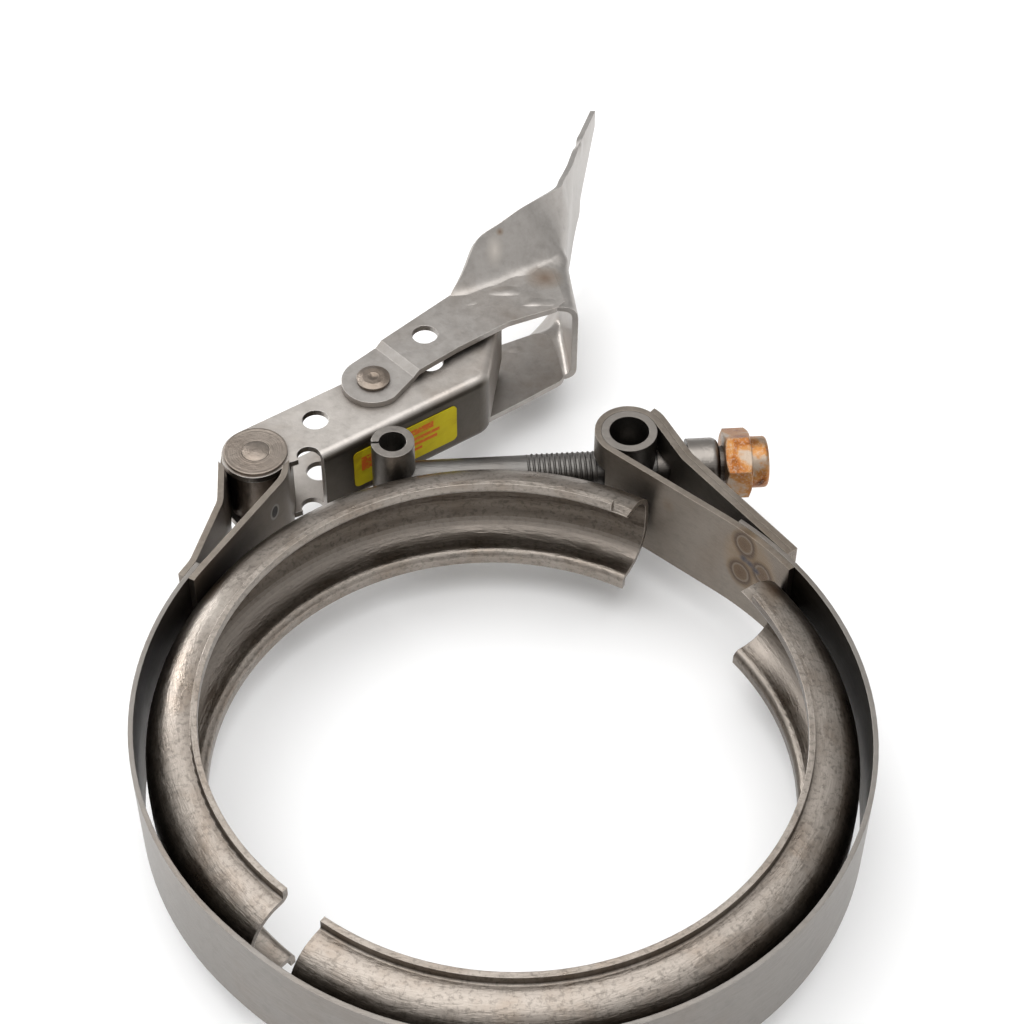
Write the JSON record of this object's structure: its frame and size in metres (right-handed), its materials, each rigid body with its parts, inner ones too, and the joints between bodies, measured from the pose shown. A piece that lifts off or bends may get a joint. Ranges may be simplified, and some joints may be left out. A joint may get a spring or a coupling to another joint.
{
  "type": "v band clamp",
  "caption": "Sprung-open V-band clamp: outer strap, V retainers and a fold-over latch with a T-bolt, trunnion and lock nut.",
  "frame": {"origin": "centre of the left retainer's arc, at mid-width of the band", "axes": "+Z is the ring's axis; +X runs along the T-bolt to the nut; +Y points from the ring to the latch"},
  "size_m": [0.1178, 0.2183, 0.0364],
  "materials": {
    "band_steel": "brushed stainless strap",
    "retainer_steel": "stamped stainless, lightly scuffed",
    "loop_steel": "stainless strap with heat tint at the welds",
    "latch_steel": "stamped stainless",
    "pin_steel": "turned stainless",
    "label_film": "plain yellow film",
    "plated_nut": "worn copper plating over steel"
  },
  "bodies": {
    "ring": {"outer_band": "band_steel", "v_retainer_left": "retainer_steel", "v_retainer_right": "retainer_steel", "pivot_loop": "loop_steel", "pivot_bushing": "pin_steel", "trunnion_loop": "loop_steel", "trunnion_loop_doubler": "loop_steel"},
    "link": {"link": "latch_steel", "pivot_pin": "pin_steel", "pivot_washer_upper": "pin_steel", "pivot_washer_lower": "pin_steel", "yellow_label": "label_film", "handle_rivet_upper": "pin_steel", "handle_rivet_lower": "pin_steel"},
    "handle": {"handle": "latch_steel"},
    "trunnion": {"trunnion": "pin_steel", "sleeve": "pin_steel"},
    "bolt": {"t_bolt": "pin_steel", "t_head": "pin_steel"},
    "nut": {"lock_nut": "plated_nut"}
  },
  "joints": [
    {"name": "link_hinge", "type": "hinge", "parent": "ring", "child": "link", "pos_m": [-0.0418, 0.056, 0], "axis": [0, 0, 1], "range_deg": [0, 12]},
    {"name": "handle_hinge", "type": "hinge", "parent": "link", "child": "handle", "pos_m": [-0.02199, 0.07304, 0], "axis": [0, 0, 1], "range_deg": [-20, 148]},
    {"name": "trunnion_swivel", "type": "hinge", "parent": "ring", "child": "trunnion", "pos_m": [0.0234, 0.0599, 0], "axis": [0, 0, 1], "range_deg": [-1, 0]},
    {"name": "nut_turn", "type": "hinge", "parent": "trunnion", "child": "nut", "pos_m": [0.0234, 0.0599, 0], "axis": [0.9969, 0.0785, 0], "range_deg": [0, 595]},
    {"name": "bolt_slide", "type": "slide", "parent": "trunnion", "child": "bolt", "axis": [0.9969, 0.0785, 0], "range_m": [-0.0015, 0]}
  ]
}
